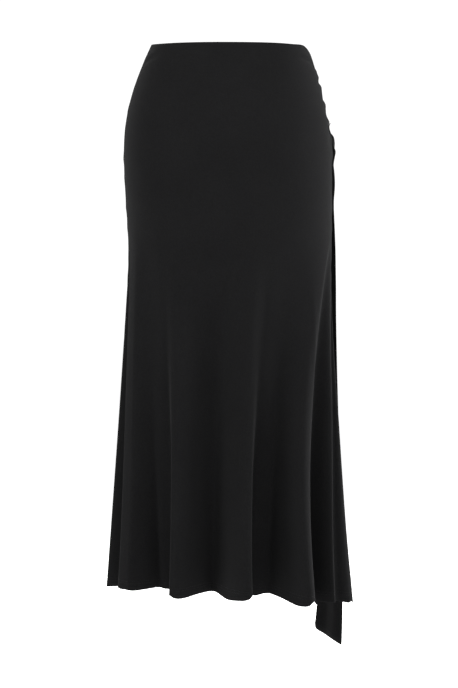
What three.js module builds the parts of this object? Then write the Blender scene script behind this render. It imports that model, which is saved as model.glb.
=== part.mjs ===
// Draped jersey skirt: a hollow, worn midi skirt that is smooth over the hip and fluted from the
// knee down. A gathered right side seam holds a cascade that hangs to a point below the hem.
// Millimetres, +Z up. The origin is the middle of the waist opening. The back of the skirt faces
// -Y, and +X is the wearer's right. Degrees are counted from the centre back towards the
// wearer's right, so 90 is the right side seam, 180 the centre front and 270 the left side seam.
import * as THREE from "three";

// Driving sizes
const WALL = 1.6; // cloth with its turned edges
const SEAM_GAP = 0.3; // between neighbouring pieces
const HEM_LEVEL = -903; // mean level of the hem
const HEM_TILT = 0.06; // the hem falls towards the wearer's right by this much of the width
const BACK_RISE = 7; // the seat lifts the hem at the back
const HEM_REACH = 300; // height over which the uneven hem fades out
const WAIST_REACH = 90; // height over which the uneven waist edge fades out
const FACING_DEPTH = 33; // elastic facing turned inside the waist
const FACING_WALL = 1.4;
const FULLNESS = 0.025; // how much squarer than an ellipse the figure's sections are
const RIGHT_SEAM = 90;

// The figure's sections: half widths and depths at each level
const body = [
  { z: 0, left: 125, right: 129, back: 90, front: 92 },
  { z: -28, left: 137.5, right: 139.5, back: 100, front: 98 },
  { z: -61, left: 150.5, right: 149, back: 110, front: 103 },
  { z: -94, left: 161, right: 157, back: 119, front: 107 },
  { z: -127, left: 168, right: 164, back: 126, front: 109 },
  { z: -160, left: 171.3, right: 168.3, back: 130, front: 110 },
  { z: -193, left: 172, right: 171, back: 132, front: 110 },
  { z: -259, left: 168.8, right: 171.7, back: 131, front: 109 },
  { z: -333, left: 164.5, right: 170.8, back: 127, front: 108 },
  { z: -383, left: 165.3, right: 170, back: 124, front: 108 },
  { z: -457, left: 169.6, right: 171.5, back: 121, front: 109 },
  { z: -531, left: 174.4, right: 175, back: 121, front: 112 },
  { z: -606, left: 179.5, right: 180.5, back: 123, front: 116 },
  { z: -704, left: 186.6, right: 187, back: 128, front: 121 },
  { z: -804, left: 194, right: 194.5, back: 134, front: 127 },
  { z: -903, left: 201.5, right: 204, back: 140, front: 133 },
  { z: -1003, left: 209, right: 213, back: 146, front: 139 },
];

// The waist edge, lowest at the centre back and where the gathered seam pulls it down
const waistEdge = [
  { deg: -90, z: -3 },
  { deg: -48, z: -9.8 },
  { deg: 0, z: -12.3 },
  { deg: 48, z: -10.8 },
  { deg: 69, z: -10 },
  { deg: 90, z: -24 },
  { deg: 110, z: -8 },
  { deg: 180, z: 0 },
  { deg: 270, z: -3 },
];

// Flutes, all round from the left side seam: ridges stand out, hollows go in.
// deg is the place at the hem and topDeg at the flute's top; sweep is how fast it gets there,
// and growth the power at which it deepens on its way down. out and lean are the offsets
// outwards and sideways at the hem, drop the extra length there.
const flutes = [
  { deg: -90, topDeg: -90, top: -300, sweep: 1.6, growth: 0.95, out: -5, lean: 0, drop: -1 },
  { deg: -79, topDeg: -88, top: -300, sweep: 1.6, growth: 0.95, out: 1, lean: 0, drop: -2 },
  { deg: -67, topDeg: -82, top: -300, sweep: 1.6, growth: 0.95, out: -42, lean: 0, drop: 0 },
  { deg: -56, topDeg: -78, top: -300, sweep: 1.6, growth: 0.95, out: 4, lean: -6, drop: 0 },
  { deg: -50, topDeg: -68, top: -300, sweep: 1.6, growth: 0.95, out: 4, lean: -4, drop: 0 },
  { deg: -44, topDeg: -51, top: -290, sweep: 1.3, growth: 1.2, out: -50, lean: 8, drop: -1 },
  { deg: -32, topDeg: -42, top: -300, sweep: 1.3, growth: 1.3, out: -56, lean: 4, drop: -1 },
  { deg: -23, topDeg: -30, top: -420, sweep: 1.3, growth: 1.3, out: 12, lean: -8, drop: -5 },
  { deg: -9.5, topDeg: -1, top: -340, sweep: 1.6, growth: 0.8, out: -76, lean: 0, drop: -1 },
  { deg: 5.2, topDeg: 13, top: -370, sweep: 1.6, growth: 0.95, out: 13, lean: 15, drop: -5 },
  { deg: 15.5, topDeg: 27, top: -300, sweep: 1.6, growth: 1.3, out: -62, lean: -10, drop: 2 },
  { deg: 25.2, topDeg: 33, top: -300, sweep: 1.6, growth: 1.3, out: -72, lean: 0, drop: 3 },
  { deg: 33.5, topDeg: 72, top: -330, sweep: 3.1, growth: 0.95, out: 20, lean: 9, drop: -9 },
  { deg: 51, topDeg: 78, top: -330, sweep: 1.8, growth: 0.95, out: -56, lean: 0, drop: -3 },
  { deg: 55.5, topDeg: 86, top: -330, sweep: 1.3, growth: 0.95, out: -3, lean: 2, drop: -2 },
  { deg: 62, topDeg: 87, top: -400, sweep: 1.3, growth: 0.95, out: -14, lean: 0, drop: 0 },
  { deg: 79, topDeg: 89, top: -380, sweep: 1.5, growth: 0.95, out: 5, lean: -20, drop: -2 },
  { deg: 90, topDeg: 90, top: -420, sweep: 1.3, growth: 0.95, out: -1, lean: -8, drop: 0 },
  { deg: 116, topDeg: 108, top: -420, sweep: 1.4, growth: 0.95, out: -3, lean: 0, drop: 0 },
  { deg: 148, topDeg: 140, top: -360, sweep: 1.6, growth: 0.95, out: 7, lean: 2, drop: -4 },
  { deg: 168, topDeg: 160, top: -400, sweep: 1.4, growth: 0.95, out: -46, lean: 0, drop: 0 },
  { deg: 184, topDeg: 179, top: -380, sweep: 1.6, growth: 0.95, out: 12, lean: -4, drop: -4 },
  { deg: 201, topDeg: 198, top: -420, sweep: 1.4, growth: 0.95, out: -50, lean: 0, drop: 1 },
  { deg: 218, topDeg: 217, top: -400, sweep: 1.6, growth: 0.95, out: 11, lean: 5, drop: -4 },
  { deg: 236, topDeg: 240, top: -380, sweep: 1.4, growth: 0.95, out: -48, lean: 0, drop: 0 },
  { deg: 250, topDeg: 257, top: -360, sweep: 1.6, growth: 0.95, out: 6, lean: -4, drop: -3 },
  { deg: 259, topDeg: 264, top: -330, sweep: 1.6, growth: 0.95, out: -40, lean: 0, drop: -1 },
  { deg: 270, topDeg: 270, top: -300, sweep: 1.6, growth: 0.95, out: -5, lean: 0, drop: -1 },
];

const RIGHT_FLUTE = flutes.findIndex((flute) => flute.deg === RIGHT_SEAM);

// Gathers across the right side seam, crest and trough in turn; the last crest is the tip
// where the cascade starts
const gathers = [
  { z: 0, out: 0 },
  { z: -42, out: -0.5 },
  { z: -54, out: 1.4 },
  { z: -65, out: -0.7 },
  { z: -76, out: 1.2 },
  { z: -91, out: -0.8 },
  { z: -106, out: 1.2 },
  { z: -119, out: -0.8 },
  { z: -132, out: 1.2 },
  { z: -142, out: -0.4 },
  { z: -152, out: 1.2 },
  { z: -166, out: 2 },
  { z: -179, out: 3 },
  { z: -196, out: 0 },
  { z: -240, out: 0 },
];
const GATHER_REACH_FRONT = 34; // degrees round the front
const GATHER_REACH_BACK = 10; // degrees round the back

// Levels of the panels' rows below the gathers
const plainLevels = [-259, -330, -400, -480, -570, -670, -780, HEM_LEVEL];

// The cascade's folds, from the layer next to the skirt outwards. head is the level where the
// fold is sewn into the seam, foot its lower end; degrees and outs are where it hangs.
const cascade = [
  { head: -190, foot: -981, headDeg: 115, footDeg: 139, out: 8, tip: 0 },
  { head: -178, foot: -1005, headDeg: 103, footDeg: 123.4, out: 15, tip: 4 },
  { head: -162, foot: -925, headDeg: 118, footDeg: 142, out: 21, tip: 0 },
  { head: -146, foot: -850, headDeg: 110, footDeg: 129, out: 22, tip: 0 },
  { head: -130, foot: -762, headDeg: 121, footDeg: 144, out: 31, tip: 0 },
];
const CASCADE_SEAM_DEG = 92; // where its gathered edge is sewn in
const CASCADE_SEAM_OUT = WALL / 2 + SEAM_GAP + 0.4; // on top of the front panel
const CASCADE_LIFT = 5; // how far it stands off the hip once it has turned forward
const CASCADE_SWING = 100; // drop in which the cloth turns forward from the seam
const CASCADE_RISE = 20; // drop in which it comes out from the seam
const CASCADE_TIP_REACH = 16; // drop over which the seam's last gather pokes out
const CASCADE_FALL = 240; // drop in which the folds open out
const CASCADE_TURN = 2; // power at which they turn towards their feet
const CASCADE_ROWS = 12;

const COLUMNS_TUBE = 3; // columns for each half flute
const COLUMNS_CASCADE = 4;

// Small helpers
const clamp01 = (value) => Math.min(1, Math.max(0, value));
const mix = (a, b, t) => a + (b - a) * t;
const ease = (t) => (1 - Math.cos(Math.PI * clamp01(t))) / 2;

// A smooth curve through one column of a table whose key column goes one way
function readAt(rows, key, value, column) {
  const sign = Math.sign(rows[1][key] - rows[0][key]);
  let i = 0;
  while (i < rows.length - 2 && sign * (value - rows[i + 1][key]) > 0) i += 1;
  const slope = (j) => {
    const before = rows[Math.max(0, j - 1)];
    const after = rows[Math.min(rows.length - 1, j + 1)];
    return (after[column] - before[column]) / (after[key] - before[key]);
  };
  const [a, b] = [rows[i], rows[i + 1]];
  const span = b[key] - a[key];
  const t = clamp01((value - a[key]) / span);
  const [t2, t3] = [t * t, t * t * t];
  return (
    (2 * t3 - 3 * t2 + 1) * a[column] +
    (t3 - 2 * t2 + t) * span * slope(i) +
    (3 * t2 - 2 * t3) * b[column] +
    (t3 - t2) * span * slope(i + 1)
  );
}

// A point of the figure at an angle and level, moved outwards and sideways
function onFigure(deg, z, out, lean) {
  const angle = THREE.MathUtils.degToRad(deg);
  const [sin, cos] = [Math.sin(angle), Math.cos(angle)];
  const width = readAt(body, "z", z, sin < 0 ? "left" : "right");
  const depth = readAt(body, "z", z, cos > 0 ? "back" : "front");
  const full = 1 + FULLNESS * Math.sin(2 * angle) ** 2;
  const normal = new THREE.Vector2(sin / width, -cos / depth).normalize();
  return new THREE.Vector3(
    width * full * sin + normal.x * out - normal.y * lean,
    -depth * full * cos + normal.y * out + normal.x * lean,
    z
  );
}

// How far a gather stands out at an angle and level
function gatherOut(deg, z) {
  const away = deg - RIGHT_SEAM;
  const reach = away > 0 ? GATHER_REACH_FRONT : GATHER_REACH_BACK;
  return readAt(gathers, "z", z, "out") * ease(1 - Math.abs(away) / reach);
}

// One flute's place and size at a level
function fluteAt(flute, z) {
  const fall = clamp01((flute.top - z) / (flute.top - HEM_LEVEL));
  const size = fall ** flute.growth;
  return {
    deg: mix(flute.deg, flute.topDeg, (1 - fall) ** flute.sweep),
    out: flute.out * size,
    lean: flute.lean * size,
    drop: flute.drop,
  };
}

// The outer face of the cloth, a part of the way from flute i to the next, at a nominal level
function onCloth(i, part, level) {
  const [a, b] = [fluteAt(flutes[i], level), fluteAt(flutes[i + 1], level)];
  const blend = ease(part);
  const deg = mix(a.deg, b.deg, part);
  const nearHem = clamp01((HEM_LEVEL + HEM_REACH - level) / HEM_REACH) ** 2;
  const nearWaist = clamp01(1 + level / WAIST_REACH) ** 2;
  const side = onFigure(deg, level, 0, 0).x;
  const rise = BACK_RISE * Math.max(0, Math.cos(THREE.MathUtils.degToRad(deg)));
  const hemShift = (mix(a.drop, b.drop, blend) + rise - HEM_TILT * side) * nearHem;
  const z = level + hemShift + readAt(waistEdge, "deg", deg, "z") * nearWaist;
  const out = mix(a.out, b.out, blend) + gatherOut(deg, z);
  return onFigure(deg, z, out, mix(a.lean, b.lean, blend));
}

// The whole tube of cloth as rings of points, one for each level, from the left side seam round
function clothRings(levels) {
  return levels.map((level) => {
    const ring = [];
    for (let i = 0; i < flutes.length - 1; i += 1) {
      for (let j = 0; j < COLUMNS_TUBE; j += 1) ring.push(onCloth(i, j / COLUMNS_TUBE, level));
    }
    return ring;
  });
}

// Outward normals of a grid, from its neighbours in both directions
function gridNormals(grid, closed) {
  return grid.map((row, r) => {
    const up = grid[Math.max(0, r - 1)];
    const down = grid[Math.min(grid.length - 1, r + 1)];
    const count = row.length;
    return row.map((_, c) => {
      const before = closed ? (c + count - 1) % count : Math.max(0, c - 1);
      const after = closed ? (c + 1) % count : Math.min(count - 1, c + 1);
      const along = new THREE.Vector3().subVectors(row[after], row[before]);
      const rise = new THREE.Vector3().subVectors(up[c], down[c]);
      return along.cross(rise).normalize();
    });
  });
}

const shifted = (grid, normals, distance) =>
  grid.map((row, r) => row.map((point, c) => point.clone().addScaledVector(normals[r][c], distance)));

// Draws a grid's end columns in by half the seam gap
function trimEnds(grid) {
  for (const row of grid) {
    const last = row.length - 1;
    const pull = (end, next) => {
      const way = new THREE.Vector3().subVectors(row[next], row[end]).setLength(SEAM_GAP / 2);
      return row[end].clone().add(way);
    };
    [row[0], row[last]] = [pull(0, 1), pull(last, last - 1)];
  }
  return grid;
}

// A closed wall between an outer and an inner grid; a closed one joins its last column to its first.
// Both grids' squares are cut along the same diagonal, so that a twisted one keeps its thickness.
function wallMesh(name, colour, outer, inner, closed) {
  const [rows, columns] = [outer.length, outer[0].length];
  const points = [...outer.flat(), ...inner.flat()].flatMap((point) => point.toArray());
  const faces = [];
  const id = (side, r, c) => side * rows * columns + r * columns + (c % columns);
  const quad = (a, b, c, d) => faces.push(a, b, c, a, c, d);
  const spans = closed ? columns : columns - 1;
  for (let c = 0; c < spans; c += 1) {
    for (let r = 0; r < rows - 1; r += 1) {
      quad(id(0, r + 1, c), id(0, r + 1, c + 1), id(0, r, c + 1), id(0, r, c));
      quad(id(1, r + 1, c), id(1, r, c), id(1, r, c + 1), id(1, r + 1, c + 1));
    }
    quad(id(0, 0, c), id(0, 0, c + 1), id(1, 0, c + 1), id(1, 0, c));
    quad(id(1, rows - 1, c), id(1, rows - 1, c + 1), id(0, rows - 1, c + 1), id(0, rows - 1, c));
  }
  for (let r = 0; !closed && r < rows - 1; r += 1) {
    const end = columns - 1;
    quad(id(0, r, 0), id(1, r, 0), id(1, r + 1, 0), id(0, r + 1, 0));
    quad(id(0, r + 1, end), id(1, r + 1, end), id(1, r, end), id(0, r, end));
  }
  const geometry = new THREE.BufferGeometry();
  geometry.setAttribute("position", new THREE.Float32BufferAttribute(points, 3));
  geometry.setIndex(faces);
  geometry.computeVertexNormals();
  const material = new THREE.MeshStandardMaterial({ color: colour, roughness: 0.85, metalness: 0 });
  const mesh = new THREE.Mesh(geometry, material);
  mesh.name = name;
  return mesh;
}

// A panel of the tube, from one side seam's column to the other's
function panel(name, rings, normals, first, last) {
  const cut = (grid) => grid.map((ring) => [...ring, ring[0]].slice(first, last + 1));
  const outer = cut(rings);
  const inner = cut(shifted(rings, normals, -WALL));
  return wallMesh(name, 0x1c1c1d, trimEnds(outer), trimEnds(inner), false);
}

// The elastic facing: a ring inside both panels, from just under the waist edge
function waistFacing() {
  const rings = clothRings([-1, -FACING_DEPTH / 2, -FACING_DEPTH]);
  const normals = gridNormals(rings, true);
  const depth = WALL + SEAM_GAP;
  const outer = shifted(rings, normals, -depth);
  const inner = shifted(rings, normals, -depth - FACING_WALL);
  return wallMesh("waist_facing", 0x161617, outer, inner, true);
}

// One point of the cascade, a part of the way from fold i to the next, at a share of its length
function onCascade(i, part, share) {
  const [a, b] = [cascade[i], cascade[i + 1]];
  const blend = ease(part);
  const value = (column) => mix(a[column], b[column], blend);
  const step = (column) => mix(a[column], b[column], part);
  const [head, foot] = [step("head"), value("foot")];
  const z = mix(head, foot, share);
  const fallen = head - z;
  const hangDeg = mix(value("headDeg"), value("footDeg"), share ** CASCADE_TURN);
  const turned = ease(fallen / CASCADE_SWING);
  const deg = mix(CASCADE_SEAM_DEG, hangDeg, turned);
  const lift = mix(CASCADE_SEAM_OUT, CASCADE_LIFT, ease(fallen / CASCADE_RISE));
  const open = (step("out") - CASCADE_LIFT) * ease(fallen / CASCADE_FALL);
  const poke = value("tip") * ease(1 - fallen / CASCADE_TIP_REACH);
  const out = lift + open + poke + gatherOut(deg, z);
  return onFigure(deg, z, out, 0);
}

// The cascade: a long cloth gathered into the seam, hanging in flat zigzag folds
function sideCascade() {
  const folds = cascade.length - 1;
  const grid = [];
  for (let r = 0; r <= CASCADE_ROWS; r += 1) {
    const share = (r / CASCADE_ROWS) ** 2;
    const row = [];
    for (let i = 0; i < folds; i += 1) {
      for (let j = 0; j < COLUMNS_CASCADE; j += 1) row.push(onCascade(i, j / COLUMNS_CASCADE, share));
    }
    row.push(onCascade(folds - 1, 1, share));
    grid.push(row);
  }
  const normals = gridNormals(grid, false);
  const outer = shifted(grid, normals, WALL / 2);
  const inner = shifted(grid, normals, -WALL / 2);
  return wallMesh("side_cascade", 0x1a1a1b, outer, inner, false);
}

const gatherLevels = gathers.map((row) => row.z);
const levels = [0, -26, ...gatherLevels.filter((z) => z < -26), ...plainLevels];
const rings = clothRings(levels);
const normals = gridNormals(rings, true);
const rightColumn = RIGHT_FLUTE * COLUMNS_TUBE;

const skirt = new THREE.Group();
skirt.add(panel("back_panel", rings, normals, 0, rightColumn));
skirt.add(panel("front_panel", rings, normals, rightColumn, rings[0].length));
skirt.add(waistFacing());
skirt.add(sideCascade());
export default skirt;
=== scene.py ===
# %% [markdown]
# # A draped jersey skirt
# This lesson dresses a imported CAD skirt. The skirt is a midi in black viscose jersey: smooth over
# the hip, fluted from the knee down, with a gathered right side seam that holds a cascade. The
# CAD has the size of everything, so it is loaded first and never changed.

from collections import namedtuple
from math import cos, pi, radians, sin

import bpy
import numpy as np
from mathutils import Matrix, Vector


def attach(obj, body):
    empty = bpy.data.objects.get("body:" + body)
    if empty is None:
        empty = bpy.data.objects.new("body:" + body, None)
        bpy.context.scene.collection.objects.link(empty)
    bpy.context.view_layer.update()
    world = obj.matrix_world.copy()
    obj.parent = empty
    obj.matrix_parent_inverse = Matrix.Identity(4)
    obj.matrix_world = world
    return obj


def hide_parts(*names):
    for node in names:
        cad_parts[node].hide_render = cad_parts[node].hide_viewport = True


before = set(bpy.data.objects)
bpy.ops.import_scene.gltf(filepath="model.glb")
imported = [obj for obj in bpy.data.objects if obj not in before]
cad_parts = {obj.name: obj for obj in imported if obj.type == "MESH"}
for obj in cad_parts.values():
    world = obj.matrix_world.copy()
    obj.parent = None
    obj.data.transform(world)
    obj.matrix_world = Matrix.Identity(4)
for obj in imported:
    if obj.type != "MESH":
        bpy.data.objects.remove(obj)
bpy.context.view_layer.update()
scene = bpy.context.scene
print("frame:", sorted(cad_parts))

# %% [markdown]
# ## Where the camera stands
# A skirt is shown from straight behind, level with its middle, from a little over three metres.
# From so far the sides stay nearly parallel. A long lens then fills the picture: its length is
# the sensor's long side times the distance, over the height that has to fit.

# %% Camera
VIEW_DISTANCE = 3.2
VIEW_SIDE = 0.0016
VIEW_LEVEL = -0.4958  # half way down the picture
VIEW_HEIGHT = 1.1352
SENSOR = 36.0

camera_data = bpy.data.cameras.new("camera")
camera_data.sensor_width = SENSOR
camera_data.lens = SENSOR * VIEW_DISTANCE / VIEW_HEIGHT
camera = bpy.data.objects.new("camera", camera_data)
camera.location = (VIEW_SIDE, -VIEW_DISTANCE, VIEW_LEVEL)
camera.rotation_euler = (pi / 2, 0, 0)
scene.collection.objects.link(camera)
scene.camera = camera
print("lens, mm:", round(camera_data.lens, 1))

# %% [markdown]
# ## Light for black cloth
# Black cloth shows its shape by what grazes it. Two high softboxes stand either side of the
# camera, one at each side of the skirt and one behind each edge, so that the rims glow and the
# hollows between the flutes stay dark. A weak one fills the right side, which is the brighter.
# Two more light the front, for views from there. Each is placed by its angle round the skirt and
# its height, as in a studio. Most of the powers were solved for outside this script, with one
# light on at a time, and then rounded.

# %% Softboxes
Softbox = namedtuple("Softbox", "name azimuth elevation power")
SOFTBOXES = [
    Softbox("left_key", -30, 44, 36),
    Softbox("right_key", 30, 44, 39),
    Softbox("left_side", -60, 15, 31),
    Softbox("right_side", 80, 8, 33),
    Softbox("right_fill", 60, 25, 10),
    Softbox("left_rim", -128, 5, 75),
    Softbox("right_rim", 110, 5, 96),
    Softbox("front_left_key", -150, 35, 30),
    Softbox("front_right_key", 150, 35, 30),
]
SOFTBOX_DISTANCE = 2.8
SOFTBOX_SIDE = 1.0
AIM = Vector((0, 0, -0.45))


def add_softbox(box):
    """A square area light that faces the skirt and that the camera doesn't see."""
    data = bpy.data.lights.new(box.name, "AREA")
    data.size, data.energy = SOFTBOX_SIDE, box.power
    light = bpy.data.objects.new("softbox_" + box.name, data)
    turn, lift = radians(box.azimuth), radians(box.elevation)
    towards = Vector((sin(turn) * cos(lift), -cos(turn) * cos(lift), sin(lift)))
    light.location = AIM + towards * SOFTBOX_DISTANCE
    light.rotation_euler = towards.to_track_quat("Z", "Y").to_euler()
    light.visible_camera = False
    scene.collection.objects.link(light)


for softbox in SOFTBOXES:
    add_softbox(softbox)
print("softboxes:", len(SOFTBOXES))

# %% [markdown]
# ## The backdrop
# The backdrop is plain white. A world of full strength would flood the hollows with light, so
# the world is bright only where the camera looks at it, and gives a weak fill to the skirt. The
# Standard view transform keeps white as white.

# %% Backdrop
BACKDROP_GLOW = 1.1
FILL = 0.02

scene.view_settings.view_transform = "Standard"
world = bpy.data.worlds.new("studio")
scene.world = world
world.use_nodes = True
nodes, links = world.node_tree.nodes, world.node_tree.links
backdrop, fill, seen = (
    nodes["Background"],
    nodes.new("ShaderNodeBackground"),
    nodes.new("ShaderNodeLightPath"),
)
backdrop.inputs["Strength"].default_value = BACKDROP_GLOW
fill.inputs["Strength"].default_value = FILL
choice = nodes.new("ShaderNodeMixShader")
for shader in (backdrop, fill):
    shader.inputs["Color"].default_value = (1, 1, 1, 1)
links.new(seen.outputs["Is Camera Ray"], choice.inputs["Fac"])
links.new(fill.outputs[0], choice.inputs[1])
links.new(backdrop.outputs[0], choice.inputs[2])
links.new(choice.outputs[0], nodes["World Output"].inputs["Surface"])

# %% [markdown]
# ## The floor
# The skirt hangs from nothing here, as in a shop's picture, so the floor lies below its point.
# It is one wide pale sheet.

# %% Floor
FLOOR_LEVEL = -1.12
FLOOR_SIDE = 900.0
FLOOR_GLOW = 1.0

bpy.ops.mesh.primitive_plane_add(size=FLOOR_SIDE, location=(0, 0, FLOOR_LEVEL))
floor = bpy.context.object
floor.name = "floor"
floor_paint = bpy.data.materials.new("floor_paint")
floor_paint.use_nodes = True
paint = floor_paint.node_tree.nodes["Principled BSDF"]
paint.inputs["Base Color"].default_value = (0.93, 0.93, 0.93, 1)
paint.inputs["Roughness"].default_value = 0.9
paint.inputs["Specular IOR Level"].default_value = 0.0
paint.inputs["Emission Color"].default_value = (1, 1, 1, 1)
glow = floor_paint.node_tree.nodes.new("ShaderNodeLightPath")
brighten = floor_paint.node_tree.nodes.new("ShaderNodeMath")
brighten.operation = "MULTIPLY"
brighten.inputs[1].default_value = FLOOR_GLOW
floor_paint.node_tree.links.new(glow.outputs["Is Camera Ray"], brighten.inputs[0])
floor_paint.node_tree.links.new(brighten.outputs[0], paint.inputs["Emission Strength"])
floor.data.materials.append(floor_paint)

# %% [markdown]
# ## Two small tools for tables
# A worn garment is easiest to write as tables: how wide the figure is at each level, where each
# flute stands. Between the rows a smooth curve is wanted, so `smooth_curve` puts a cubic through
# them. `ease` goes from 0 to 1 with a soft start and end, as a fold does between crest and
# hollow. All tables are in millimetres and degrees; meshes are made in metres.

# %% Curves through tables
MM = 0.001


def smooth_curve(xs, ys):
    """A function that follows a cubic curve through the points, and stays level beyond them."""
    order = np.argsort(xs)
    xs, ys = np.array(xs, float)[order], np.array(ys, float)[order]
    inner = (ys[2:] - ys[:-2]) / (xs[2:] - xs[:-2])
    ends = (ys[1] - ys[0]) / (xs[1] - xs[0]), (ys[-1] - ys[-2]) / (xs[-1] - xs[-2])
    slopes = np.concatenate(([ends[0]], inner, [ends[1]]))

    def value(x):
        x = np.clip(x, xs[0], xs[-1])
        i = np.clip(np.searchsorted(xs, x) - 1, 0, len(xs) - 2)
        span = xs[i + 1] - xs[i]
        t = (x - xs[i]) / span
        t2, t3 = t * t, t * t * t
        start = (2 * t3 - 3 * t2 + 1) * ys[i] + (t3 - 2 * t2 + t) * span * slopes[i]
        return start + (3 * t2 - 2 * t3) * ys[i + 1] + (t3 - t2) * span * slopes[i + 1]

    return value


def ease(t):
    """A soft step: 0 up to t = 0, 1 from t = 1 on."""
    return (1 - np.cos(pi * np.clip(t, 0, 1))) / 2


def mix(a, b, t):
    """A part t of the way from a to b."""
    return a + (b - a) * t


Wave = namedtuple("Wave", "size length turn shift")


def ripple(waves, z, column=0.0):
    """Some waves down the cloth added up, each shifted a little from column to column."""
    return sum(w.size * np.sin(z / w.length + w.turn * column + w.shift) for w in waves)


# %% [markdown]
# ## The figure inside the skirt
# Jersey takes the shape of what wears it. Each row is a level with the half widths to the left
# and right and the half depths to the back and front. `on_figure` turns an angle and a level into
# a point: 0 degrees is the centre back, 90 the right side seam, 180 the centre front.

# %% Figure
FIGURE = [  # level, left, right, back, front
    (0, 125, 129, 90, 92),
    (-28, 137.5, 139.5, 100, 98),
    (-61, 150.5, 149, 110, 103),
    (-94, 161, 157, 119, 107),
    (-127, 168, 164, 126, 109),
    (-160, 171.3, 168.3, 130, 110),
    (-193, 172, 171, 132, 110),
    (-259, 168.8, 171.7, 131, 109),
    (-333, 164.5, 170.8, 127, 108),
    (-383, 165.3, 170, 124, 108),
    (-457, 169.6, 171.5, 121, 109),
    (-531, 174.4, 175, 121, 112),
    (-606, 179.5, 180.5, 123, 116),
    (-704, 186.6, 187, 128, 121),
    (-804, 194, 194.5, 134, 127),
    (-903, 201.5, 204, 140, 133),
    (-1003, 209, 213, 146, 139),
]
FULLNESS = 0.025  # how much squarer than an ellipse the sections are
figure_level, *figure_sides = zip(*FIGURE)
left, right, back, front = (smooth_curve(figure_level, side) for side in figure_sides)


def on_figure(deg, z, out, lean):
    """Points on the figure at an angle and level, moved outwards and sideways."""
    angle = np.radians(deg)
    s, c = np.sin(angle), np.cos(angle)
    width = np.where(s < 0, left(z), right(z))
    depth = np.where(c > 0, back(z), front(z))
    full = 1 + FULLNESS * np.sin(2 * angle) ** 2
    nx, ny = s / width, -c / depth
    size = np.hypot(nx, ny)
    nx, ny = nx / size, ny / size
    x = width * full * s + nx * out - ny * lean
    y = -depth * full * c + ny * out + nx * lean
    return np.stack(np.broadcast_arrays(x, y, z), -1)


HIP_LEVEL = -193.0
hip = on_figure(np.arange(0, 361.0), HIP_LEVEL, 0, 0)
print("hip girth, mm:", round(float(np.linalg.norm(np.diff(hip, axis=0), axis=1).sum())))

# %% [markdown]
# ## Edges and flutes
# Below the knee the flare has more cloth than the figure needs, and it falls into flutes: soft
# ridges with hollows between them, each with its own place, depth and lean. The waist edge dips
# at the back and where the gathered seam pulls it. A few gathers stand out along that seam.

# %% Flutes, edges and gathers
HEM_LEVEL = -903
HEM_TILT = 0.06
BACK_RISE = 7
HEM_REACH = 300
WAIST_REACH = 90
RIGHT_SEAM = 90

Flute = namedtuple("Flute", "deg top_deg top sweep growth out lean drop")
FLUTES = [
    Flute(-90, -90, -300, 1.6, 0.95, -5, 0, -1),
    Flute(-79, -88, -300, 1.6, 0.95, 1, 0, -2),
    Flute(-67, -82, -300, 1.6, 0.95, -42, 0, 0),
    Flute(-56, -78, -300, 1.6, 0.95, 4, -6, 0),
    Flute(-50, -68, -300, 1.6, 0.95, 4, -4, 0),
    Flute(-44, -51, -290, 1.3, 1.2, -50, 8, -1),
    Flute(-32, -42, -300, 1.3, 1.3, -56, 4, -1),
    Flute(-23, -30, -420, 1.3, 1.3, 12, -8, -5),
    Flute(-9.5, -1, -340, 1.6, 0.8, -76, 0, -1),
    Flute(5.2, 13, -370, 1.6, 0.95, 13, 15, -5),
    Flute(15.5, 27, -300, 1.6, 1.3, -62, -10, 2),
    Flute(25.2, 33, -300, 1.6, 1.3, -72, 0, 3),
    Flute(33.5, 72, -330, 3.1, 0.95, 20, 9, -9),
    Flute(51, 78, -330, 1.8, 0.95, -56, 0, -3),
    Flute(55.5, 86, -330, 1.3, 0.95, -3, 2, -2),
    Flute(62, 87, -400, 1.3, 0.95, -14, 0, 0),
    Flute(79, 89, -380, 1.5, 0.95, 5, -20, -2),
    Flute(90, 90, -420, 1.3, 0.95, -1, -8, 0),
    Flute(116, 108, -420, 1.4, 0.95, -3, 0, 0),
    Flute(148, 140, -360, 1.6, 0.95, 7, 2, -4),
    Flute(168, 160, -400, 1.4, 0.95, -46, 0, 0),
    Flute(184, 179, -380, 1.6, 0.95, 12, -4, -4),
    Flute(201, 198, -420, 1.4, 0.95, -50, 0, 1),
    Flute(218, 217, -400, 1.6, 0.95, 11, 5, -4),
    Flute(236, 240, -380, 1.4, 0.95, -48, 0, 0),
    Flute(250, 257, -360, 1.6, 0.95, 6, -4, -3),
    Flute(259, 264, -330, 1.6, 0.95, -40, 0, -1),
    Flute(270, 270, -300, 1.6, 0.95, -5, 0, -1),
]
RIGHT_FLUTE = [flute.deg for flute in FLUTES].index(RIGHT_SEAM)

waist_edge = smooth_curve(
    (-90, -48, 0, 48, 69, 90, 110, 180, 270),
    (-3, -9.8, -12.3, -10.8, -10, -24, -8, 0, -3),
)
gather = smooth_curve(
    (0, -42, -54, -65, -76, -91, -106, -119, -132, -142, -152, -166, -179, -187, -196, -240),
    (0, -0.5, 1.4, -0.7, 1.2, -0.8, 1.2, -0.8, 1.2, -0.4, 1.2, 2, 3, 2, 0, 0),
)
GATHER_REACH_FRONT = 34
GATHER_REACH_BACK = 10


def gather_out(deg, z):
    """How far the gathers stand out, fading away from the seam."""
    away = deg - RIGHT_SEAM
    reach = np.where(away > 0, GATHER_REACH_FRONT, GATHER_REACH_BACK)
    return gather(z) * ease(1 - abs(away) / reach)
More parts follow.
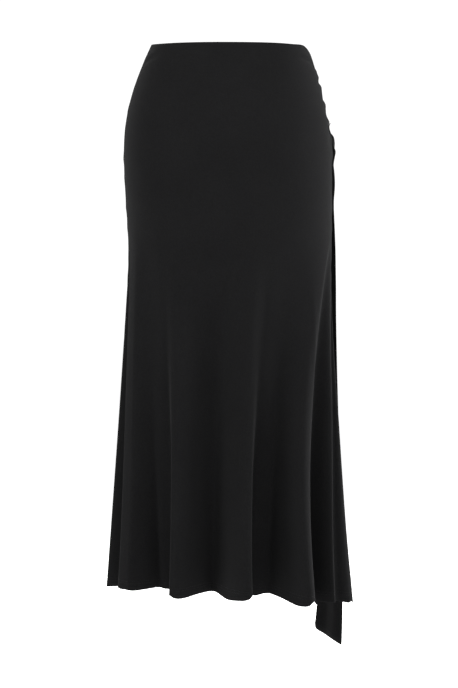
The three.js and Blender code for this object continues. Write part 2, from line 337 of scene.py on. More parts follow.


# %% [markdown]
# ## Creases
# Between the big shapes a worn skirt has small ones: folds that fan out from the gathers, tugs
# where the facing is caught, and soft drag lines. Each row of the table is one: where it starts
# and ends, how far it bows, how wide and how high it is. A height below nothing is a trough. The
# profile across is a bell, and it fades along its length, so that no two look alike.

# %% Crease table
Crease = namedtuple("Crease", "deg z end_deg end_z bow width height fade")
ARC = 2.6  # millimetres round the hip for one degree
FROM_SEAM, BOTH_ENDS = "from seam", "both ends"
CREASE_START = 0.03  # share of a crease's length in which it rises at the seam
CREASE_WEAKENS = 0.4
CREASE_POINTED = 1.3
CREASES = [
    # folds that fan over the front from the gathered seam
    Crease(90, -46, 152, -30, 6, 5.5, 2.2, FROM_SEAM),
    Crease(90, -60, 168, -64, 8, 6.0, -1.6, FROM_SEAM),
    Crease(90, -70, 176, -92, 10, 6.0, 2.6, FROM_SEAM),
    Crease(90, -84, 150, -118, 9, 5.0, -1.8, FROM_SEAM),
    Crease(90, -97, 190, -178, 16, 7.0, 3.0, FROM_SEAM),
    Crease(90, -112, 160, -186, 14, 6.0, -2.0, FROM_SEAM),
    Crease(90, -125, 178, -262, 22, 7.5, 3.2, FROM_SEAM),
    Crease(90, -139, 148, -244, 16, 6.0, -2.2, FROM_SEAM),
    Crease(90, -152, 160, -330, 26, 8.0, 3.4, FROM_SEAM),
    Crease(90, -168, 136, -318, 18, 6.5, -2.0, FROM_SEAM),
    # short tugs on the back, beside the same seam
    Crease(90, -58, 48, -50, -2, 4.5, 0.9, FROM_SEAM),
    Crease(90, -70, 56, -74, -2, 4.5, -0.7, FROM_SEAM),
    Crease(90, -84, 44, -88, 3, 5.0, 0.8, FROM_SEAM),
    Crease(90, -104, 62, -118, 3, 5.0, -0.7, FROM_SEAM),
    Crease(90, -121, 58, -140, 4, 5.5, 0.8, FROM_SEAM),
    Crease(90, -146, 66, -176, 4, 5.5, -0.9, FROM_SEAM),
    Crease(90, -160, 60, -204, 6, 6.0, 0.8, FROM_SEAM),
    # where the facing is caught to the seams
    Crease(-80, -42, -50, -31, 4, 3.6, -2.0, BOTH_ENDS),
    Crease(-78, -34, -54, -24, 4, 3.8, 1.1, BOTH_ENDS),
    Crease(77, -41, 50, -33, -4, 3.6, -1.8, BOTH_ENDS),
    Crease(74, -33, 52, -25, -4, 3.6, 0.7, BOTH_ENDS),
    # drag lines over the seat and the hips
    Crease(-84, -120, -40, -150, 6, 9.0, 0.5, BOTH_ENDS),
    Crease(-70, -215, -20, -262, 10, 14.0, 0.6, BOTH_ENDS),
    Crease(-30, -300, 28, -292, -10, 16.0, -0.7, BOTH_ENDS),
    Crease(80, -232, 34, -300, -8, 14.0, 0.7, BOTH_ENDS),
    Crease(268, -96, 216, -140, 8, 10.0, 0.8, BOTH_ENDS),
    Crease(266, -150, 208, -214, 10, 12.0, -0.9, BOTH_ENDS),
    Crease(262, -226, 206, -290, 10, 14.0, 0.9, BOTH_ENDS),
    # ridges between the big flutes
    Crease(-40, -330, -41, -620, 3, 9.0, 1.2, BOTH_ENDS),
    Crease(-24, -340, -16, -640, 2, 8.0, 1.0, BOTH_ENDS),
    Crease(51.5, -375, 46.5, -620, 0, 4.0, 1.6, BOTH_ENDS),
    Crease(24, -560, 25.5, -900, 1, 5.0, 1.6, FROM_SEAM),
    Crease(190, -470, 190, -860, 2, 6.0, 1.2, BOTH_ENDS),
    Crease(222, -460, 223, -840, 2, 6.0, 1.4, BOTH_ENDS),
    Crease(140, -500, 140, -860, 2, 6.0, 1.2, BOTH_ENDS),
]


def crease_out(deg, z):
    """How far all the creases together move the cloth outwards."""
    total = np.zeros(np.broadcast_shapes(np.shape(deg), np.shape(z)))
    for crease in CREASES:
        along = np.array(((crease.end_deg - crease.deg) * ARC, crease.end_z - crease.z))
        length = np.hypot(*along)
        ux, uz = along / length
        x, dz = (deg - crease.deg) * ARC, z - crease.z
        t = (x * ux + dz * uz) / length
        aside = dz * ux - x * uz - crease.bow * 4 * np.clip(t, 0, 1) * (1 - np.clip(t, 0, 1))
        if crease.fade == FROM_SEAM:
            begun = ease((t + CREASE_START) / (2 * CREASE_START))
            strength = begun * ease(1 - t) * (1 - CREASE_WEAKENS * np.clip(t, 0, 1))
        else:
            strength = np.sin(pi * np.clip(t, 0, 1)) ** CREASE_POINTED
        total += crease.height * strength * np.exp(-((aside / crease.width) ** 2))
    return total


# %% [markdown]
# ## Corners of the hem
# Where a flute folds back on itself the hem does not end in a corner: the cloth rolls, so the
# edge lifts at the fold and hangs lowest just beside it. Each row is one such lift or dip, at a
# place counted in flutes, and it fades out a little way above the hem.

# %% Hem waves
HemWave = namedtuple("HemWave", "column width rise")
HEM_WAVES = [
    HemWave(3.0, 0.12, 2.0),
    HemWave(4.3, 0.2, -1.8),
    HemWave(4.85, 0.25, 2.0),
    HemWave(6.9, 0.14, 6.5),
    HemWave(7.3, 0.18, -2.0),
    HemWave(8.45, 0.22, -5.0),
    HemWave(9.2, 0.28, 9.0),
    HemWave(10.35, 0.25, -3.0),
    HemWave(11.62, 0.16, -2.8),
    HemWave(12.2, 0.25, 11.0),
    HemWave(16.0, 0.12, 3.0),
]
HEM_WAVE_REACH = 30


def hem_wave(column, level):
    """How far the hem's lifts and dips move the cloth up."""
    near = np.clip((HEM_LEVEL + HEM_WAVE_REACH - level) / HEM_WAVE_REACH, 0, 1) ** 2
    lifts = [w.rise * np.exp(-(((column - w.column) / w.width) ** 2)) for w in HEM_WAVES]
    return sum(lifts) * near


# %% [markdown]
# ## Where the sewing shows
# Two needles sew the hem side by side, and each row of stitches pulls the cloth in to a fine
# groove. The side seams draw up a little too, so the cloth beside them isn't quite flat.

# %% Grooves and puckers
HEM_STITCHES = (10.5, 14.5)  # above the hem
GROOVE_DEPTH = 0.5
GROOVE_WIDTH = 0.9
PUCKER = 0.35
PUCKER_WAVES = (Wave(1, 6.3, 0, 0), Wave(0.6, 4.4, 0, 1))
PUCKER_REACH = 7  # degrees from a seam


def groove_out(level):
    """How far the rows of hem stitches pull the cloth in."""
    rows = [np.exp(-(((level - HEM_LEVEL - row) / GROOVE_WIDTH) ** 2)) for row in HEM_STITCHES]
    return -GROOVE_DEPTH * sum(rows)


def pucker_out(deg, z):
    """The small waves beside the side seams."""
    wave = ripple(PUCKER_WAVES, z)
    return sum(PUCKER * wave * ease(1 - abs(deg - seam) / PUCKER_REACH) for seam in (-90, 90, 270))


# %% [markdown]
# ## One point of the cloth
# `on_cloth` brings it all together. A column lies a part of the way from one flute to the next;
# a level is a nominal height. The hem and the waist edge shift the real height near each end.

# %% The cloth surface
flute_table = {name: np.array(column, float) for name, column in zip(Flute._fields, zip(*FLUTES))}


def flute_at(index, level):
    """Place, offsets and drop of each column's flute at each level."""
    row = {name: column[index] for name, column in flute_table.items()}
    fall = np.clip((row["top"] - level) / (row["top"] - HEM_LEVEL), 0, 1)
    size = fall ** row["growth"]
    deg = mix(row["deg"], row["top_deg"], (1 - fall) ** row["sweep"])
    return deg, row["out"] * size, row["lean"] * size, row["drop"]


def on_cloth(column, level):
    """The outer face of the cloth at each column and level, with its angles."""
    index = np.minimum(column.astype(int), len(FLUTES) - 2)
    part = column - index
    blend = ease(part)
    (deg_a, out_a, lean_a, drop_a), (deg_b, out_b, lean_b, drop_b) = (
        flute_at(index, level),
        flute_at(index + 1, level),
    )
    deg = mix(deg_a, deg_b, part)
    near_hem = np.clip((HEM_LEVEL + HEM_REACH - level) / HEM_REACH, 0, 1) ** 2
    near_waist = np.clip(1 + level / WAIST_REACH, 0, 1) ** 2
    side = on_figure(deg, level, 0, 0)[..., 0]
    rise = BACK_RISE * np.maximum(0, np.cos(np.radians(deg)))
    hem_shift = (mix(drop_a, drop_b, blend) + rise - HEM_TILT * side) * near_hem
    z = level + hem_shift + hem_wave(column, level) + waist_edge(deg) * near_waist
    out = mix(out_a, out_b, blend) + gather_out(deg, z) + crease_out(deg, z)
    out = out + groove_out(level) + pucker_out(deg, z)
    return on_figure(deg, z, out, mix(lean_a, lean_b, blend)), deg


# %% [markdown]
# ## Rows and columns
# The mesh is a fine grid. Rows lie close together where the gathers and the hem stitching need
# them, and further apart down the plain middle.

# %% Grid spacing
ROWS = np.concatenate(
    [
        np.arange(0, -212, -4.0),
        np.arange(-212, -860, -8.5),
        np.arange(-860, -885, -3.5),
        np.arange(-885, HEM_LEVEL, -1.0),
        [HEM_LEVEL],
    ]
)
COLUMNS_BACK = 15  # for each half flute
COLUMNS_FRONT = 17


def columns_between(first, last, each):
    """Even columns from one flute or fold to another, so many for each step."""
    return np.linspace(first, last, (last - first) * each + 1)


back_columns = columns_between(0, RIGHT_FLUTE, COLUMNS_BACK)
front_columns = columns_between(RIGHT_FLUTE, len(FLUTES) - 1, COLUMNS_FRONT)
print("rows:", len(ROWS), "columns:", len(back_columns), len(front_columns))

# %% [markdown]
# ## Turned edges
# A real skirt has no raw edges in sight. At the waist the cloth rolls in over the facing, at the
# hem it is folded up inside and caught with stitches, and at each side seam it turns in to an
# allowance. Such edges are more rows and columns of the same grid, laid along a small roll: a few
# points round a bend, then the flat part behind it.

# %% Rolled edges
CLOTH = 0.75  # thickness of the jersey
ROLL = 0.85  # radius of a turned edge, measured to the cloth's outer face
HEM_TURN = 13.0  # depth of the hem inside
WAIST_TURN = 1.2
SEAM_ALLOWANCE = 6.0
SEAM_PRESSED = 1.4  # behind the facing, where the allowance is pressed flat
PRESSED_DOWN_TO = -42
SEAM_ROLL = 0.45
ROLL_STEPS = 4
HEM_SHARES = (0.1, 0.3, 0.55, 0.8, 1.0)  # rows across the part that lies flat behind an edge
WAIST_SHARES = (1.0,)
ALLOWANCE_SHARES = (0.3, 0.65, 1.0)


def unit(vectors):
    """Vectors of the same directions and of length 1."""
    return vectors / np.linalg.norm(vectors, axis=-1, keepdims=True)


def grid_normals(points):
    """Outward normals of a grid whose rows go down and whose columns go towards the right."""
    along, down = np.gradient(points, axis=1), np.gradient(points, axis=0)
    return unit(np.cross(along, -down))


def turned_rows(edge, normal, onward, turn, flat):
    """Rows that bend half a circle away from an edge to the inside and then run back behind it."""
    rows = []
    for k in range(1, ROLL_STEPS + 1):
        angle = pi * k / ROLL_STEPS
        rows.append(edge + ROLL * (sin(angle) * onward - (1 - cos(angle)) * normal))
    for share in flat:
        rows.append(edge - 2 * ROLL * normal - turn * share * onward)
    return rows


def turned_column(points, normals, first):
    """The columns that turn in at a side seam, from the free edge of the allowance outwards."""
    end, beside = (0, 1) if first else (-1, -2)
    edge, normal = points[:, end], normals[:, end]
    towards = unit(edge - points[:, beside])
    edge = edge - towards * SEAM_ROLL
    columns = []
    for k in range(4):
        angle = pi / 2 * k / 3
        columns.append(edge + SEAM_ROLL * (sin(angle) * towards - (1 - cos(angle)) * normal))
    corner = edge + SEAM_ROLL * (towards - normal)
    below = ease((PRESSED_DOWN_TO - edge[:, 2:]) / (SEAM_ALLOWANCE * 2))
    allowance = mix(SEAM_PRESSED, SEAM_ALLOWANCE, below) - SEAM_ROLL
    for share in ALLOWANCE_SHARES:
        columns.append(corner - normal * allowance * share)
    return columns[::-1] if first else columns


def with_edges(points):
    """The grid with its turned hem, waist edge and side seams."""
    normals = grid_normals(points)
    start = np.stack(turned_column(points, normals, True), 1)
    end = np.stack(turned_column(points, normals, False), 1)
    points = np.concatenate((start, points[:, 1:-1], end), 1)
    inside = normals[:, :1].repeat(start.shape[1], 1), normals[:, -1:].repeat(end.shape[1], 1)
    normals = np.concatenate((inside[0], normals[:, 1:-1], inside[1]), 1)
    down, up = unit(points[-1] - points[-3]), unit(points[0] - points[1])
    hem = turned_rows(points[-1], normals[-1], down, HEM_TURN, HEM_SHARES)
    waist = turned_rows(points[0], normals[0], up, WAIST_TURN, WAIST_SHARES)
    return np.concatenate((np.stack(waist[::-1]), points, np.stack(hem)), 0)


# %% [markdown]
# ## From a grid to a piece of cloth
# `cloth_piece` makes the mesh, gives it a UV map that follows the cut (wales run straight down,
# courses straight across, both in metres) and finishes it by Solidify, which adds the thickness
# on the inside. The modifier is applied, so that the piece is plain mesh in the end.

# %% Mesh maker
SAME_POINT = 0.01  # points of a ring's first and last columns nearer than this are merged


def line_length(line):
    """Length along a line of points, up to each point."""
    return np.concatenate(([0], np.cumsum(np.linalg.norm(np.diff(line, axis=0), axis=1))))


def grid_faces(rows, columns):
    """The four corners of each square of a grid."""
    r, c = np.meshgrid(np.arange(rows - 1), np.arange(columns - 1), indexing="ij")
    corner = (r * columns + c).ravel()
    return np.stack((corner + columns, corner + columns + 1, corner + 1, corner), 1)


def grid_uv(points, middle):
    """Across from a middle column and down, in metres, as the cloth was cut."""
    across = np.linalg.norm(np.diff(points, axis=1), axis=-1)
    across = np.pad(np.cumsum(across, 1), ((0, 0), (1, 0)))
    down = np.linalg.norm(np.diff(points, axis=0), axis=-1)
    down = np.pad(np.cumsum(down, 0), ((1, 0), (0, 0)))
    across = across - across[:, middle : middle + 1]
    return np.stack((across, -down[:, middle : middle + 1].repeat(points.shape[1], 1)), -1) * MM


def only(piece):
    """Deselects everything and makes one piece the active one."""
    bpy.ops.object.select_all(action="DESELECT")
    piece.select_set(True)
    bpy.context.view_layer.objects.active = piece


def cloth_piece(name, points, middle, thickness=CLOTH, ring=False):
    """A wall of cloth whose outer face is the grid. A ring's two ends are merged."""
    rows, columns = points.shape[:2]
    mesh = bpy.data.meshes.new(name)
    faces = grid_faces(rows, columns)
    mesh.from_pydata((points.reshape(-1, 3) * MM).tolist(), [], faces.tolist())
    uv = mesh.uv_layers.new(name="cut")
    flat = grid_uv(points, middle).reshape(-1, 2)
    loops = np.empty(len(mesh.loops), int)
    mesh.loops.foreach_get("vertex_index", loops)
    uv.data.foreach_set("uv", flat[loops].ravel())
    mesh.shade_smooth()
    piece = bpy.data.objects.new(name, mesh)
    scene.collection.objects.link(piece)
    only(piece)
    if ring:
        bpy.ops.object.mode_set(mode="EDIT")
        bpy.ops.mesh.select_all(action="SELECT")
        bpy.ops.mesh.remove_doubles(threshold=SAME_POINT * MM)
        bpy.ops.object.mode_set(mode="OBJECT")
    wall = piece.modifiers.new("wall", "SOLIDIFY")
    wall.thickness = thickness * MM
    wall.offset = -1
    wall.use_even_offset = False
    bpy.ops.object.modifier_apply(modifier=wall.name)
    return piece


def show(piece):
    """Prints a piece's triangles and the area of one side."""
    mesh = piece.data
    mesh.calc_loop_triangles()
    area = sum(face.area for face in mesh.polygons) / 2
    print(f"{piece.name}: {len(mesh.loop_triangles)} triangles, {area:.3f} square metres")


# %% [markdown]
# ## The back and front panels
# The skirt is two panels joined at the side seams. Each is the same surface between two columns.

# %% Panels


def make_panel(name, columns):
    """A panel of the skirt between two columns."""
    points, _ = on_cloth(columns[None, :], ROWS[:, None])
    grid = with_edges(points)
    return cloth_piece(name, grid, grid.shape[1] // 2)


back_panel = make_panel("back_panel_cloth", back_columns)
front_panel = make_panel("front_panel_cloth", front_columns)
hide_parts("back_panel")
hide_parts("front_panel")
show(back_panel)
show(front_panel)

# %% [markdown]
# ## The elastic facing
# Inside the waist is a band of the same jersey over elastic. Elastic draws the cloth into fine
# upright ribs. The band is a closed ring, so its first and last columns meet.

# %% Facing
FACING_DEPTH = 33
FACING_GAP = 1.9
FACING_SET_IN = 0.7  # further in than the gap, to leave room for the ribs
FACING_TOP = (-2.6, -3.2)  # levels close together at the top edge
FACING_BODY_TOP = -4.2
FACING_ROWS = 9
FACING_RIBS = 150
COLUMNS_PER_RIB = 6
RIB_HEIGHT = 0.45
FACING_CLOTH = 1.3


def make_facing():
    """The band, and the points and normals of the face that shows inside the waist."""
    columns = np.linspace(0, len(FLUTES) - 1, FACING_RIBS * COLUMNS_PER_RIB + 1)
    body = np.linspace(FACING_BODY_TOP, -FACING_DEPTH + 1, FACING_ROWS)
    levels = np.concatenate((FACING_TOP, body, [-FACING_DEPTH]))
    points, _ = on_cloth(columns[None, :], levels[:, None])
    normals = grid_normals(points)
    turn = np.arange(len(columns)) / COLUMNS_PER_RIB
    row = np.arange(len(levels))
    swell = ease(np.minimum(row, row[::-1]) / 2)[:, None]
    ribs = RIB_HEIGHT * np.cos(2 * pi * turn)[None, :] * swell
    outer = points - normals * (FACING_GAP + FACING_SET_IN - ribs * 0.5)[..., None]
    outer[:, -1] = outer[:, 0]
    band = cloth_piece("waist_facing_band", outer, len(columns) // 2, FACING_CLOTH, ring=True)
    return band, outer - normals * FACING_CLOTH, -normals


facing, facing_points, facing_normals = make_facing()
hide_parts("waist_facing")
show(facing)

# %% [markdown]
# ## The cascade
# A long piece of cloth is gathered into the right seam and hangs over the front side in zigzag
# folds, down to a point below the hem. Each row of the table is one fold edge, from the layer
# next to the skirt outwards: where it is sewn in, how low it ends, and where it hangs.

# %% Cascade folds
Fold = namedtuple("Fold", "head foot head_deg foot_deg out tip")
FOLDS = [
    Fold(-190, -981, 115, 139, 8, 0),
    Fold(-178, -1005, 103, 123.4, 15, 4),
    Fold(-162, -925, 118, 142, 21, 0),
    Fold(-146, -850, 110, 129, 22, 0),
    Fold(-130, -762, 121, 144, 31, 0),
]
CASCADE_SEAM_DEG = 92
CASCADE_SEAM_OUT = 0.9
CASCADE_LIFT = 5
CASCADE_SWING = 100
CASCADE_RISE = 60
CASCADE_TIP_REACH = 16
CASCADE_FALL = 240
CASCADE_COLUMNS = 20
CASCADE_ROWS = 130
PLEAT = 1.5  # gathers at the seam, which fade as the cloth falls
PLEATS = 2.5  # for each fold
PLEAT_FALL = 190
PLEAT_START = 14
SWAY = 1.0  # degrees by which a fold edge wanders
SWAY_WAVES = (Wave(1, 83, 1.9, 0), Wave(0.6, 41, 3.1, 2))
SWELL_WAVES = (Wave(0.9, 57, 2.6, 0),)
TAIL_FOLD = -14  # depth of a soft fold down the point
TAIL_FROM, TAIL_SPAN = 0.74, 0.18  # where it begins, in shares of the length
TAIL_EDGE, TAIL_EDGE_SPAN = 0.36, 0.26  # where it rises, in folds
TAIL_RELAX, TAIL_RELAX_SPAN = 0.62, 0.6  # where it sinks to a half
CORNER = 9  # height of the point's rounded corner
CORNER_WIDTH = 0.25  # its width, in folds
CORNER_OUT = 3.0  # how far it swings out
CORNER_FROM, CORNER_SPAN = 0.85, 0.15
SEW_DOWN = 1.7  # above 1, rows lie closer together at the seam
fold_table = {name: np.array(column, float) for name, column in zip(Fold._fields, zip(*FOLDS))}


def on_cascade(column, share):
    """Points of the cascade, a part of the way from fold to fold, at a share of its length."""
    index = np.minimum(column.astype(int), len(FOLDS) - 2)
    part = column - index
    blend = ease(part)

    def soft(name):
        return mix(fold_table[name][index], fold_table[name][index + 1], blend)

    def straight(name):
        return mix(fold_table[name][index], fold_table[name][index + 1], part)

    inset = np.clip(1 - column / CORNER_WIDTH, 0, 1)
    corner = CORNER * (1 - np.sqrt(1 - inset**2))
    z = mix(straight("head"), soft("foot") + corner, share)
    fallen = straight("head") - z
    hang = mix(soft("head_deg"), soft("foot_deg"), share**2)
    deg = mix(CASCADE_SEAM_DEG, hang, ease(fallen / CASCADE_SWING))
    lift = mix(CASCADE_SEAM_OUT, CASCADE_LIFT, ease(fallen / CASCADE_RISE))
    opened = (straight("out") - CASCADE_LIFT) * ease(fallen / CASCADE_FALL)
    poke = soft("tip") * ease(1 - fallen / CASCADE_TIP_REACH)
    loose = np.sin(pi * share)
    deg = deg + SWAY * ripple(SWAY_WAVES, z, column) * loose
    pleat = PLEAT * np.cos(2 * pi * PLEATS * column + np.sin(2 * column))
    pleat = pleat * ease(fallen / PLEAT_START) * ease(1 - fallen / PLEAT_FALL)
    swell = ripple(SWELL_WAVES, z, column) * loose
    under = gather_out(deg, z) + np.maximum(crease_out(deg, z), 0)
    points = on_figure(deg, z, under + lift + opened + poke + pleat + swell, 0)
    points[..., 0] += CORNER_OUT * inset * ease((share - CORNER_FROM) / CORNER_SPAN)
    sunk = 1 - 0.5 * ease((column - TAIL_RELAX) / TAIL_RELAX_SPAN)
    fold = ease((column - TAIL_EDGE) / TAIL_EDGE_SPAN) * sunk * ease(2 - column)
    points[..., 1] += TAIL_FOLD * fold * ease((share - TAIL_FROM) / TAIL_SPAN)
    return points


def make_cascade():
    """The cascade and the points of its outer face."""
    columns = columns_between(0, len(FOLDS) - 1, CASCADE_COLUMNS)
    shares = np.linspace(0, 1, CASCADE_ROWS) ** SEW_DOWN
    points = on_cascade(columns[None, :], shares[:, None])
    return cloth_piece("side_cascade_cloth", points, len(columns) // 2), points


cascade, cascade_points = make_cascade()
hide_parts("side_cascade")
show(cascade)
for row in (0, 40, 80, -1):
    print("cascade width, mm:", round(line_length(cascade_points[row])[-1]))

# %% [markdown]
# ## One stitch
# A stitch is a short float of thread whose ends dive into the cloth. It is shaped by hand from a
# small sphere: stretched to its length, its ends selected and pushed down. Its points and faces
# are then kept, to be copied, and the model itself is removed.

# %% One stitch
STITCH_LENGTH = 2.6
STITCH_WIDTH = 0.45
STITCH_DIVE = 0.3
STITCH_STEP = 3.1

bpy.ops.object.select_all(action="DESELECT")
bpy.ops.mesh.primitive_uv_sphere_add(segments=6, ring_count=6, radius=0.5, rotation=(0, pi / 2, 0))
stitch = bpy.context.object
bpy.ops.transform.resize(value=(STITCH_LENGTH, STITCH_WIDTH, STITCH_WIDTH))
bpy.ops.object.transform_apply(location=False, rotation=True, scale=True)
for part in (*stitch.data.polygons, *stitch.data.edges):
    part.select = False
for vertex in stitch.data.vertices:
    vertex.select = abs(vertex.co.x) > 0.4 * STITCH_LENGTH
bpy.ops.object.mode_set(mode="EDIT")
bpy.ops.mesh.select_mode(type="VERT")
bpy.ops.transform.translate(value=(0, 0, -STITCH_DIVE))
bpy.ops.object.mode_set(mode="OBJECT")
stitch_points = np.array([vertex.co for vertex in stitch.data.vertices])
stitch_faces = [list(face.vertices) for face in stitch.data.polygons]
bpy.data.objects.remove(stitch)
print("a stitch:", len(stitch_faces), "faces,", stitch_points.ptp(0).round(2), "mm")

# %% [markdown]
# ## Sewing
# Stitches lie at even steps along a line on the cloth. Each has its own direction along the line
# and its own up, so that it lies flat on the cloth wherever the hem turns. `slant` turns every
# second one the other way, for a zigzag.

# %% Sewing


def sew(name, line, normals, step=STITCH_STEP, slant=0.0):
    """A mesh of stitches along a line that lies on the cloth."""
    length = line_length(line)
    marks = np.arange(step, length[-1] - step / 2, step)

    def at(values, places):
        return np.stack([np.interp(places, length, column) for column in values.T], 1)

    alongs = unit(at(line, marks + 0.4) - at(line, marks - 0.4))
    ups = at(normals, marks)
    ups = unit(ups - (ups * alongs).sum(1, keepdims=True) * alongs)
    turn = (slant * (-1.0) ** np.arange(len(marks)))[:, None]
    alongs = np.cos(turn) * alongs + np.sin(turn) * np.cross(ups, alongs)
    frames = np.stack((alongs, np.cross(ups, alongs), ups), 1)
    points = at(line, marks)[:, None] + np.einsum("vi,nij->nvj", stitch_points, frames)
    first = len(stitch_points) * np.arange(len(marks))
    faces = [[corner + start for corner in face] for start in first for face in stitch_faces]
    mesh = bpy.data.meshes.new(name)
    mesh.from_pydata((points.reshape(-1, 3) * MM).tolist(), [], faces)
    mesh.shade_smooth()
    piece = bpy.data.objects.new(name, mesh)
    scene.collection.objects.link(piece)
    return piece


def join(pieces, name):
    """Makes one object of the pieces, under one name."""
    only(pieces[0])
    for piece in pieces:
        piece.select_set(True)
    if len(pieces) > 1:
        bpy.ops.object.join()
    pieces[0].name = pieces[0].data.name = name
    print(f"{name}: {len(pieces[0].data.polygons) // len(stitch_faces)} stitches")
    return pieces[0]


# %% Hem stitches


def sew_hem(name, columns):
    """Both rows of stitches along a panel's hem."""
    rows = []
    for height in HEM_STITCHES:
        levels = HEM_LEVEL + height + np.array((1.0, 0.0, -1.0))
        points, _ = on_cloth(columns[None, :], levels[:, None])
        rows.append(sew(name, points[1], grid_normals(points)[1]))
    return join(rows, name)


back_hem = sew_hem("back_hem_stitches", back_columns)
front_hem = sew_hem("front_hem_stitches", front_columns)

# %% [markdown]
# ## Stitches on the cascade and the facing
# The cascade has one row, a finger's width above its slanted lower edge. Inside the waist, a
# zigzag row that can stretch holds the facing's lower edge.

# %% Cascade and facing stitches
CASCADE_STITCHES = 9.0  # above its lower edge
ZIGZAG_SLANT = radians(48)
ZIGZAG_STEP = 2.0
ZIGZAG_ROW = -4  # the facing's row, counted from its lower edge


def sew_cascade():
    """The row of stitches along the cascade's lower edge."""
    columns = columns_between(0, len(FOLDS) - 1, CASCADE_COLUMNS)
    fall = (on_cascade(columns, 0.0) - on_cascade(columns, 1.0))[:, 2]
    heights = CASCADE_STITCHES + np.array((1.0, 0.0, -1.0))[:, None]
    points = on_cascade(columns[None, :], 1 - heights / fall[None, :])
    return join([sew("cascade_stitches", points[1], grid_normals(points)[1])], "cascade_stitches")


cascade_hem = sew_cascade()
zigzag_line, zigzag_normals = facing_points[ZIGZAG_ROW], facing_normals[ZIGZAG_ROW]
zigzag = sew("facing_stitches", zigzag_line, zigzag_normals, ZIGZAG_STEP, ZIGZAG_SLANT)
zigzag = join([zigzag], "facing_stitches")

# %% [markdown]
# ## Black jersey
# Matte black jersey is not one colour. Its knit shows as fine upright wales, bumped and with
# painted shade, darker down between the loops and lighter on their tops. Its surface has a short
# bloom that catches light at the rim, and the tone wanders a little at random. The knit is a node
# group, because the facing uses it too. It reads the cut's UV map, so wales follow the cloth.

# %% Knit group
knit = bpy.data.node_groups.new("jersey_knit", "ShaderNodeTree")
LEG_SHARE, WAVE_SHARE = 0.7, 0.3  # of a loop's height
SOCKETS_IN = [("Across", 1100.0), ("Down", 850.0), ("Depth", 1.0)]
for socket, value in SOCKETS_IN:
    made = knit.interface.new_socket(socket, in_out="INPUT", socket_type="NodeSocketFloat")
    made.default_value = value
knit.interface.new_socket("Height", in_out="OUTPUT", socket_type="NodeSocketFloat")
# The Shade output is the loops' height again. The material paints shade with it: darker down
# between the loops, lighter on their tops.
knit.interface.new_socket("Shade", in_out="OUTPUT", socket_type="NodeSocketFloat")


def math_node(tree, operation, a, b=None):
    """The output of a new math node, fed with numbers or with other outputs."""
    node = tree.nodes.new("ShaderNodeMath")
    node.operation = operation
    for socket, value in zip(node.inputs, (a, b)):
        if isinstance(value, (int, float)):
            socket.default_value = value
        elif value is not None:
            tree.links.new(value, socket)
    return node.outputs[0]


group_in = knit.nodes.new("NodeGroupInput")
group_out = knit.nodes.new("NodeGroupOutput")
cut = knit.nodes.new("ShaderNodeUVMap")
cut.uv_map = "cut"
split = knit.nodes.new("ShaderNodeSeparateXYZ")
knit.links.new(cut.outputs["UV"], split.inputs[0])
wale = math_node(knit, "MULTIPLY", split.outputs["X"], group_in.outputs["Across"])
course = math_node(knit, "MULTIPLY", split.outputs["Y"], group_in.outputs["Down"])
leg = math_node(knit, "ABSOLUTE", math_node(knit, "SINE", math_node(knit, "MULTIPLY", wale, pi)))
course_turn = math_node(knit, "MULTIPLY", course, 2 * pi)
leg_turn = math_node(knit, "MULTIPLY", leg, pi)
wave_down = math_node(knit, "SINE", math_node(knit, "ADD", course_turn, leg_turn))
leg_part = math_node(knit, "MULTIPLY", leg, LEG_SHARE)
wave_part = math_node(knit, "MULTIPLY", wave_down, WAVE_SHARE)
loops = math_node(knit, "ADD", leg_part, wave_part)
height = math_node(knit, "MULTIPLY", loops, group_in.outputs["Depth"])
knit.links.new(height, group_out.inputs["Height"])
knit.links.new(loops, group_out.inputs["Shade"])
print("knit group:", len(knit.nodes), "nodes")

# %% Jersey material
JERSEY_SHEEN = 0.03
KNIT_DARK, KNIT_LIGHT = 0.86, 1.18  # painted shade within a loop: darker between the loops, lighter on their tops
CLOUDS = ((11, 0.05), (420, 0.14))  # scale and strength of the tone that wanders at random
WALES, FACING_WALES, COURSES = 1100, 1500, 850  # in a metre


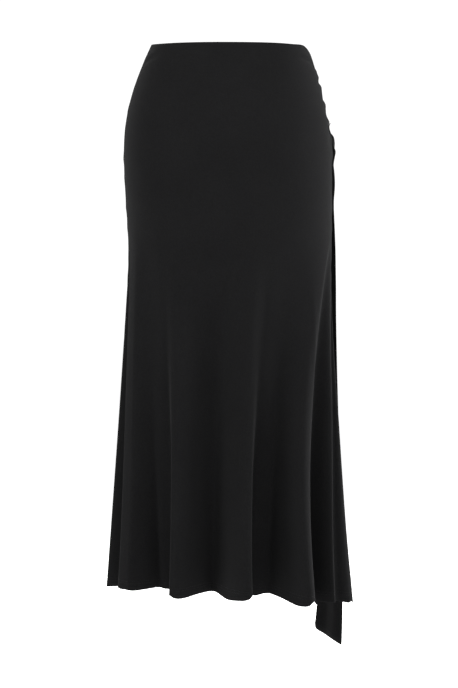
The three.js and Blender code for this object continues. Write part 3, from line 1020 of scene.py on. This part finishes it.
def jersey_material(name, colour, across, down):
    """A knit of one colour, with so many wales and courses to the metre."""
    material = bpy.data.materials.new(name)
    material.use_nodes = True
    tree = material.node_tree
    shader = tree.nodes["Principled BSDF"]
    shader.inputs["Roughness"].default_value = 0.9
    shader.inputs["Specular IOR Level"].default_value = 0.0
    shader.inputs["Sheen Weight"].default_value = JERSEY_SHEEN
    shader.inputs["Sheen Roughness"].default_value = 0.45
    shader.inputs["Sheen Tint"].default_value = (1, 1, 1, 1)
    group = tree.nodes.new("ShaderNodeGroup")
    group.node_tree = knit
    group.inputs["Across"].default_value = across
    group.inputs["Down"].default_value = down
    place = tree.nodes.new("ShaderNodeTexCoord")
    # Painted shade of the knit: the colour is darker down between the loops and lighter on their
    # tops.
    shade = tree.nodes.new("ShaderNodeMix")
    shade.data_type = "RGBA"
    shade.inputs["A"].default_value = tuple(c * KNIT_DARK for c in colour) + (1,)
    shade.inputs["B"].default_value = tuple(c * KNIT_LIGHT for c in colour) + (1,)
    tree.links.new(group.outputs["Shade"], shade.inputs["Factor"])
    loop_shade_and_tone = shade.outputs["Result"]
    for scale, strength in CLOUDS:
        cloud = tree.nodes.new("ShaderNodeTexNoise")
        cloud.inputs["Scale"].default_value = scale
        cloud.inputs["Detail"].default_value = 3
        tree.links.new(place.outputs["Object"], cloud.inputs["Vector"])
        ramp = tree.nodes.new("ShaderNodeValToRGB")
        dark, light = ramp.color_ramp.elements
        dark.position, light.position = 0.3, 0.7
        dark.color = (1 - strength,) * 3 + (1,)
        light.color = (1 + strength,) * 3 + (1,)
        tree.links.new(cloud.outputs["Fac"], ramp.inputs["Fac"])
        tint = tree.nodes.new("ShaderNodeMix")
        tint.data_type = "RGBA"
        tint.blend_type = "MULTIPLY"
        tint.inputs["Factor"].default_value = 1
        tree.links.new(loop_shade_and_tone, tint.inputs["A"])
        tree.links.new(ramp.outputs["Color"], tint.inputs["B"])
        loop_shade_and_tone = tint.outputs["Result"]
    tree.links.new(loop_shade_and_tone, shader.inputs["Base Color"])
    bump = tree.nodes.new("ShaderNodeBump")
    bump.inputs["Strength"].default_value = 0.25
    bump.inputs["Distance"].default_value = 0.0002
    tree.links.new(group.outputs["Height"], bump.inputs["Height"])
    tree.links.new(bump.outputs["Normal"], shader.inputs["Normal"])
    return material


jersey = jersey_material("black_jersey", (0.0095, 0.0095, 0.0098), WALES, COURSES)
elastic_colour = (0.011, 0.011, 0.0115)
elastic_jersey = jersey_material("elastic_jersey", elastic_colour, FACING_WALES, COURSES)
for piece in (back_panel, front_panel, cascade):
    piece.data.materials.append(jersey)
facing.data.materials.append(elastic_jersey)

# %% [markdown]
# ## Thread
# Sewing thread is spun polyester: a little shinier than the cloth, with a fine slanted twist. The
# twist is a set of bands across the object, turned to lie at a slant.

# %% Thread
thread = bpy.data.materials.new("black_thread")
thread.use_nodes = True
strand = thread.node_tree.nodes["Principled BSDF"]
strand.inputs["Roughness"].default_value = 0.6
strand.inputs["Specular IOR Level"].default_value = 0.12
twist = thread.node_tree.nodes.new("ShaderNodeTexWave")
twist.bands_direction = "DIAGONAL"
twist.inputs["Scale"].default_value = 900
twist.inputs["Distortion"].default_value = 1.5
where = thread.node_tree.nodes.new("ShaderNodeTexCoord")
thread.node_tree.links.new(where.outputs["Object"], twist.inputs["Vector"])
ply = thread.node_tree.nodes.new("ShaderNodeValToRGB")
ply.color_ramp.elements[0].color = (0.006, 0.006, 0.0062, 1)
ply.color_ramp.elements[1].color = (0.015, 0.015, 0.0155, 1)
thread.node_tree.links.new(twist.outputs["Fac"], ply.inputs["Fac"])
thread.node_tree.links.new(ply.outputs["Color"], strand.inputs["Base Color"])
THREADS = (back_hem, front_hem, cascade_hem, zigzag)
for piece in THREADS:
    piece.data.materials.append(thread)

# %% [markdown]
# ## How the pieces ride

# %% Frame calls
for piece in (back_panel, front_panel, cascade, facing, *THREADS):
    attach(piece, "root")
